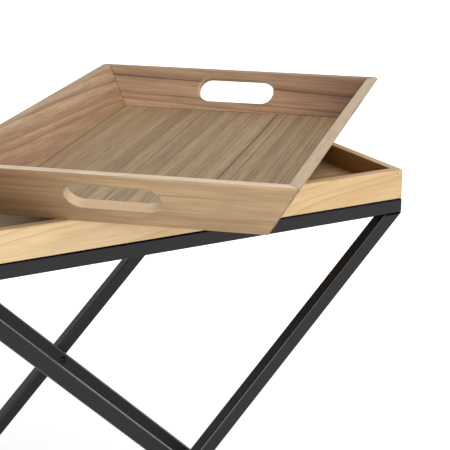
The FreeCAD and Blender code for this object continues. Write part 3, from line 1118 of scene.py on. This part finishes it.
@dataclass
class SteelFrame:
    """The ring of rails, the crossed legs, the stretchers and what is bolted or welded to them."""

    weld_radius: float = 0.0018
    weld_pitch: float = 0.0016
    weld_unevenness: float = 0.12
    weld_seed: int = 5
    bolt_seed: int = 11
    nut_seed: int = 12
    # How far the painted shade at the seams reaches, and how dark it is above and below the rails.
    seam_reach: float = 0.0024
    top_seam: float = 1.0
    foot_seam: float = 0.8
    stretcher_gloss: float = 0.3
    leg_gloss: tuple[float, ...] = (0.5, 1.0, 0.1, 1.0)
    slant: float = math.sqrt(0.5)

    sides: tuple[str, ...] = ("front", "right", "back", "left")
    legs: tuple[str, ...] = ("front_outer", "front_inner", "back_outer", "back_inner")
    pairs: tuple[str, ...] = ("outer", "inner")
    zinc_plated: tuple[str, ...] = ("leg_head_bolts", "crossing_washers", "box_screws")

    coat: Material = field(init=False)

    @property
    def seams(self) -> tuple[Triple, ...]:
        """The height, the reach and the strength of the painted shade at the seams above and below the rails."""
        low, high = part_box("rail_front")
        return (high.z, self.seam_reach, self.top_seam), (low.z, self.seam_reach, self.foot_seam)

    def build(self) -> None:
        """Make the welds, and the bolts and cap nuts at the crossings."""
        self.coat = POWDER_BLACK.material("black powder coat", self.seams)
        black = BOLT_BLACK.material("blackened bolt")
        low, high = solids_of("crossing_bolts")[0]
        bolt = BoltShape((high.x - low.x) / 2, high.y - low.y)
        places = places_along_y("crossing_bolts", -1)
        FastenerTree().set_out("crossing_bolts", bolt, places, black, self.bolt_seed, Slot.BOLT)
        low, high = solids_of("crossing_cap_nuts")[0]
        nut = CapNutShape(min(high.x - low.x, high.z - low.z) / 2, high.y - low.y)
        places = places_along_y("crossing_cap_nuts", 1, at_tip=False)
        FastenerTree().set_out("crossing_cap_nuts", nut, places, black, self.nut_seed, Slot.BOLT)
        self.build_welds()

    def build_welds(self) -> None:
        """Lay a bead round each end of both stretchers."""
        corners: list[Vector] = []
        edges: list[tuple[int, int]] = []
        for pair in self.pairs:
            low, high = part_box("stretcher_" + pair)
            middle = (low + high) / 2
            reach = (high.x - low.x) / 2 - self.weld_radius / 2
            for end in (low.y, high.y):
                start = len(corners)
                corners += [Vector((middle.x + reach * math.cos(turn * QUARTER), end,
                                    middle.z + reach * math.sin(turn * QUARTER))) for turn in range(4)]
                edges += [(start + side, start + (side + 1) % 4) for side in range(4)]
        path = bpy.data.meshes.new("weld_path")
        path.from_pydata(corners, edges, [])
        piece = WeldTree().run("stretcher_weld_beads", path, {
            "Bead Radius": self.weld_radius, "Ripple Pitch": self.weld_pitch,
            "Unevenness": self.weld_unevenness, "Seed": self.weld_seed, "Material": self.coat})
        seat(piece, Body.TABLE)

    def dress(self) -> None:
        """Coat the tubes and give the fittings their finish."""
        deep = (0.0, 1.0, 0.0)
        rising, falling = (self.slant, 0.0, self.slant), (-self.slant, 0.0, self.slant)
        for side in self.sides:
            dress("rail_" + side, self.coat)
        glide = GLIDE_BLACK.material("moulded black plastic")
        for leg, gloss in zip(self.legs, self.leg_gloss):
            faces = (deep, falling if leg.endswith("outer") else rising)
            name = "black powder coat on leg " + leg.replace("_", " ")
            dress("leg_" + leg, POWDER_BLACK.material(name, self.seams, faces, gloss))
            dress("leg_head_plate_" + leg, self.coat)
            dress("foot_glide_" + leg, glide)
        coat = POWDER_BLACK.material("black powder coat on stretchers", self.seams, (rising, falling),
                                     self.stretcher_gloss)
        for pair in self.pairs:
            dress("stretcher_" + pair, coat)
        zinc = ZINC_BRIGHT.material("bright zinc")
        for node in self.zinc_plated:
            dress(node, zinc)


@dataclass
class BoxTop:
    """The shallow box of pale boards on the frame, with its floor and nails."""

    nail_seed: int = 23
    nail_shank: float = 0.6
    nail_segments: int = 20
    pith: Triple = (0.0, 0.03, 0.06)
    panel_pith: Triple = (0.0, 0.5, 0.1)
    # Painted shade on the boards' inside faces: its colour, its share, how deep into the board it starts and its
    # fade.
    inside_painted_shade: Colour = (0.31, 0.19, 0.075)
    inside_shade_share: float = 0.95
    inside_depth: float = 0.0066
    inside_fade: float = 0.001

    boards: tuple[Board, ...] = (
        Board("box_front_board", PALE_FIR, (0.31, 0.0, 0.4), 0.0, QUARTER, math.radians(2.5), math.radians(3),
              (Drift(0.3, 0.12, (0.94, 0.90, 0.84)),)),
        Board("box_back_board", PALE_FIR, (2.4, 0.0, 0.1), math.pi, QUARTER),
        Board("box_left_board", PALE_FIR, (4.1, 0.0, 0.7), -QUARTER, QUARTER),
        Board("box_right_board", PALE_FIR, (6.3, 0.0, 0.2), QUARTER, QUARTER),
    )
    floor: Board = Board("box_floor", FIR_PANEL, (1.2, 0.5, 0.3))

    def build(self) -> None:
        """Make the nails at the corners."""
        low, high = solids_of("box_nails")[0]
        nail = NailShape((high.x - low.x) / 2, high.y - low.y, self.nail_shank, self.nail_segments)
        FastenerTree().set_out("box_nails", nail, places_along_y("box_nails", 1),
                               NAIL_DULL.material("dull nail steel"), self.nail_seed, Slot.NAIL)

    def dress(self) -> None:
        """Give each board its own cut of the log, with painted shade on its inside faces and a sanded rim."""
        for board in self.boards:
            wood = WoodDress("pale fir " + board.node.split("_")[1], board, self.pith)
            # Painted shade on the inside faces, which lie under the overhanging tray.
            through = wood.parts(wood.here)[Axis.THROUGH.value]
            inside = wood.step(through, self.inside_fade - self.inside_depth, -self.inside_depth)
            wood.paint(inside, self.inside_painted_shade, self.inside_shade_share, Blend.TIMES)
            wood.rim()
            dress(board.node, wood.done())
        dress(self.floor.node, WoodDress("fir panel", self.floor, self.panel_pith).done())


@dataclass
class Tray:
    """The loose tray: four flared boards mitred at the corners, a floor and brads."""

    turn: float = math.radians(-42.5)
    length: float = 0.628
    width: float = 0.436
    height: float = 0.070
    flare: float = 0.045
    thickness: float = 0.014
    slot_length: float = 0.116
    slot_height: float = 0.0375
    slot_middle: float = 0.041
    slot_offset: float = 0.004
    slot_pale: Colour = (0.68, 0.50, 0.32)
    slot_share: float = 0.9
    slot_reach: float = 0.002
    pith: Triple = (0.0, -0.25, 0.06)
    panel_pith: Triple = (0.0, -0.9, 0.1)
    # Dark for the inner mitre joints, widened with painted crease shade, for the painted shade along the floor's
    # border and for the split in the floor.
    joint_and_shade_dark: Colour = (0.10, 0.06, 0.035)
    seam_share: float = 0.75
    seam_width: float = 0.001
    # Outer mitre arris: lightly sanded wood, lightened further with a painted highlight.
    sanded: Colour = (0.66, 0.51, 0.35)
    arris_highlight_share: float = 0.7
    arris_highlight_width: float = 0.004
    mitre_fade: float = 0.00175
    floor_shade: float = 0.003
    floor_share: float = 0.8
    check_place: Triple = (-0.004, 0.106, 0.0)
    check_length: float = 0.04
    check_width: float = 0.002
    brad_seed: int = 41
    brad_radius: float = 0.0007
    brad_shank: float = 0.8
    brad_reach: float = 0.985
    brad_segments: int = 16

    @property
    def lean(self) -> float:
        """How far the boards lean out from upright."""
        return math.atan2(self.flare, self.height)

    @property
    def wall(self) -> float:
        """The boards' thickness, measured level."""
        return self.thickness / math.cos(self.lean)

    @property
    def middle(self) -> Vector:
        """The middle of the tray's foot."""
        place = middle_of("tray_floor")
        return Vector((place.x, place.y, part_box("tray_front_end")[0].z))

    @property
    def ways(self) -> Place:
        """The directions across the tray, to its right, and along it, to its back end."""
        turned_by = Matrix.Rotation(self.turn, 3, "Z")
        return turned_by @ Vector((1, 0, 0)), turned_by @ Vector((0, 1, 0))

    def boards(self) -> tuple[tuple[Board, int], ...]:
        """The ends and sides.

        Returns:
            Each board, with 1 where its own Z looks out of the tray and -1 where it looks in.
        """
        endways, sideways = self.turn, self.turn + QUARTER
        out, back = QUARTER + self.lean, QUARTER - self.lean
        return (
            (Board("tray_front_end", GOLDEN_TAN, (0.2, 0.0, 0.3), endways, out, drifts=(
                Drift(-0.16, 0.07, (0.47, 0.41, 0.36)), Drift(-0.03, 0.0, (0.88, 0.85, 0.84), Axis.UP))), 1),
            (Board("tray_back_end", RED_TAN, (3.3, 0.0, 0.8), endways, back, math.radians(-1.5), drifts=(
                Drift(0.19, 0.06, (0.70, 0.64, 0.66)),)), -1),
            (Board("tray_left_side", LEFT_TAN, (5.7, 0.0, 0.1), sideways, back, math.radians(-4), drifts=(
                Drift(0.002, 0.014, (0.80, 0.73, 0.70), Axis.UP),)), -1),
            (Board("tray_right_side", SOFT_TAN, (8.1, 0.0, 0.5), sideways, out), 1),
        )

    def build(self) -> None:
        """Make the brads at the mitres."""
        across, _ = self.ways
        middles = []
        spans = []
        for low, high in solids_of("tray_brads"):
            point = (low + high) / 2
            outward = across * math.copysign(1.0, (point - self.middle).dot(across))
            spans.append(abs(high.x - low.x) / abs(outward.x) / 2)
            middles.append((point, outward))
        half = min(spans) * self.brad_reach
        places = [(point + way * half, way) for point, way in middles]
        brad = NailShape(self.brad_radius, 2 * half, self.brad_shank, self.brad_segments)
        FastenerTree().set_out("tray_brads", brad, places, bpy.data.materials["dull nail steel"], self.brad_seed,
                               Slot.NAIL, Body.TRAY)

    def slot_frame(self, wood: WoodDress, outward: int) -> Socket:
        """Wire the frame of a handle slot: X along it, Y up the board and Z through it.

        Args:
            wood: the dress of the end that has the slot.
            outward: 1 for the front end and -1 for the back end.

        Returns:
            The place in the slot's own frame.
        """
        across, along = self.ways
        out = self.length / 2 - self.flare + self.flare * self.slot_middle / self.height - self.wall / 2
        middle = self.middle - (along * out + across * self.slot_offset) * outward
        middle.z += self.slot_middle
        return wood.lie(middle, self.turn, QUARTER + outward * self.lean)

    def dress(self) -> None:
        """Dress the ends, the sides and the floor."""
        for board, outward in self.boards():
            self.dress_board(board, outward)
        self.dress_floor()

    def dress_board(self, board: Board, outward: int) -> None:
        """Give a board its own cut of the log, a sanded rim, pale slot walls, a dark inner mitre line widened
        with painted shade, and a painted highlight on the outer mitre arris.

        Args:
            board: the board.
            outward: 1 where its own Z looks out of the tray and -1 where it looks in.
        """
        wood = WoodDress("grey brown " + board.node.replace("_", " "), board, self.pith)
        wood.rim()
        if board.node.endswith("_end"):
            wall = SlotWall().place(wood, {
                "Vector": self.slot_frame(wood, outward), "Length": self.slot_length,
                "Height": self.slot_height, "Reach": self.slot_reach})
            wood.paint(wall["Mask"], self.slot_pale, self.slot_share)
        plan = wood.lie(self.middle, self.turn)
        offset = (self.length - self.width) / 2
        seam, arris = (MitreSeam().place(wood, {"Vector": plan, "Offset": offset, "Width": width})["Mask"]
                       for width in (self.seam_width, self.arris_highlight_width))
        through = wood.times(wood.parts(wood.here)[Axis.THROUGH.value], outward)
        inside = wood.step(through, self.mitre_fade, -self.mitre_fade)
        # Inner mitres: a dark joint line, widened with painted crease shade.
        wood.paint(wood.times(seam, inside), self.joint_and_shade_dark, self.seam_share)
        # Outer mitres: a painted highlight on the sanded arris.
        wood.paint(wood.times(arris, wood.minus(1.0, inside)), self.sanded, self.arris_highlight_share)
        dress(board.node, wood.done())

    def dress_floor(self) -> None:
        """Give the floor its cut of the log, a shaded border and one split in the grain."""
        board = Board("tray_floor", GREY_PANEL, (1.7, 0.2, 0.6), self.turn + QUARTER,
                      drifts=(Drift(-0.18, -0.08, (1.19, 1.26, 1.36)),))
        floor = WoodDress("grey brown floor", board, self.panel_pith)
        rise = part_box("tray_floor")[1].z - self.middle.z
        inset = self.flare * (1 - rise / self.height) + self.wall
        edge = PanelEdge().place(floor, {
            "Vector": floor.here, "Half Length": self.length / 2 - inset, "Half Width": self.width / 2 - inset,
            "Reach": self.floor_shade})
        check = GrainCheck().place(floor, {
            "Vector": floor.vector("SUBTRACT", floor.here, self.check_place),
            "Length": self.check_length, "Width": self.check_width})
        # The border is painted shade where the floor meets the boards; the split is a real dark crack.
        for mark in (edge, check):
            floor.paint(mark["Mask"], self.joint_and_shade_dark, self.floor_share)
        dress(board.node, floor.done())


@dataclass(frozen=True)
class Lamp:
    """One soft studio lamp."""

    name: str
    place: Triple
    aim: Triple
    size: float
    power: float

    def set_up(self) -> None:
        """Put the lamp in the scene."""
        data = bpy.data.lights.new(self.name, "AREA")
        data.shape = "DISK"
        data.size = self.size
        data.energy = self.power
        lamp = bpy.data.objects.new(self.name, data)
        lamp.location = self.place
        way = Vector(self.aim) - Vector(self.place)
        lamp.rotation_euler = way.to_track_quat("-Z", "Y").to_euler()
        bpy.context.scene.collection.objects.link(lamp)


@dataclass
class Studio:
    """The white floor, the soft light and the camera."""

    floor_half: float = 15.0
    floor_colour: Colour = (0.82, 0.82, 0.82)
    floor_lift: float = 0.5
    shadow_reach: tuple[float, float] = (0.5, 1.6)
    ambient: float = 0.45
    camera_place: Triple = (-0.7405, -1.6805, 1.1723)
    camera_yaw: float = math.radians(28.751)
    camera_pitch: float = math.radians(17.614)
    camera_roll: float = math.radians(0.132)
    focal_pixels: float = 1382.112
    image_pixels: float = 450.0
    sensor: float = 36.0

    lamps: tuple[Lamp, ...] = (
        Lamp("key", (1.6, -1.8, 3.0), (0.0, 0.0, 0.65), 2.4, 38.0),
        Lamp("front", (-1.3, -3.0, 1.2), (0.0, 0.0, 0.55), 2.4, 48.0),
    )

    def build(self) -> None:
        """Set up the floor, the world, the lamps and the camera."""
        self.build_floor()
        self.build_world()
        for lamp in self.lamps:
            lamp.set_up()
        self.build_camera()
        bpy.context.scene.view_settings.view_transform = "Standard"

    @staticmethod
    def seen(wiring: Wiring) -> Socket:
        """Wire what is 1 for rays from the camera and for mirrored and refracted ones, and otherwise 0.

        Args:
            wiring: the wiring of a material or world.

        Returns:
            The 1 or 0.
        """
        path = wiring.add("ShaderNodeLightPath").outputs
        direct = wiring.math("MAXIMUM", path["Is Camera Ray"], path["Is Glossy Ray"])
        return wiring.math("MAXIMUM", direct, path["Is Transmission Ray"])

    def build_floor(self) -> None:
        """Lay a white floor that keeps the table's shadow."""
        mesh = bpy.data.meshes.new("studio_floor")
        signs = ((-1, -1), (1, -1), (1, 1), (-1, 1))
        mesh.from_pydata([(x * self.floor_half, y * self.floor_half, 0) for x, y in signs], [], [(0, 1, 2, 3)])
        floor = bpy.data.objects.new("studio_floor", mesh)
        bpy.context.scene.collection.objects.link(floor)
        white = NewMaterial("white studio floor")
        white.tree.nodes.remove(white.shader)
        matt = white.add("ShaderNodeBsdfDiffuse", {"Color": (*self.floor_colour, 1.0)})
        away = white.step(white.vector("LENGTH", white.on_table), *self.shadow_reach)
        lift = white.times(self.seen(white), white.spread(away, self.floor_lift, 1.0))
        glow = white.add("ShaderNodeEmission", {"Strength": lift})
        both = white.add("ShaderNodeAddShader", {0: matt.outputs[0], 1: glow.outputs[0]})
        white.feed(white.tree.nodes["Material Output"].inputs["Surface"], both.outputs[0])
        mesh.materials.append(white.material)

    def build_world(self) -> None:
        """Light the table evenly from a world that the camera sees as white."""
        world = bpy.data.worlds.new("studio")
        world.use_nodes = True
        wiring = Wiring(world.node_tree)
        background = world.node_tree.nodes["Background"]
        background.inputs["Color"].default_value = (1.0, 1.0, 1.0, 1.0)
        wiring.feed(background.inputs["Strength"], wiring.spread(self.seen(wiring), self.ambient, 1.0))
        bpy.context.scene.world = world

    def build_camera(self) -> None:
        """Stand the camera where the photograph was taken from."""
        data = bpy.data.cameras.new("camera")
        data.sensor_width = self.sensor
        data.lens = self.focal_pixels / self.image_pixels * self.sensor
        camera = bpy.data.objects.new("camera", data)
        turns = ((-self.camera_yaw, "Z"), (QUARTER - self.camera_pitch, "X"), (self.camera_roll, "Z"))
        stand = Matrix.Translation(self.camera_place)
        for angle, axis in turns:
            stand = stand @ Matrix.Rotation(angle, 4, axis)
        camera.matrix_world = stand
        bpy.context.scene.collection.objects.link(camera)
        bpy.context.scene.camera = camera


def main() -> None:
    """Build and dress every sub-assembly, then set up the studio."""
    logging.basicConfig(level=logging.INFO, format="%(name)s: %(message)s")
    for assembly in (SteelFrame(), BoxTop(), Tray()):
        assembly.build()
        assembly.dress()
    Studio().build()


if __name__ == "__main__":
    main()
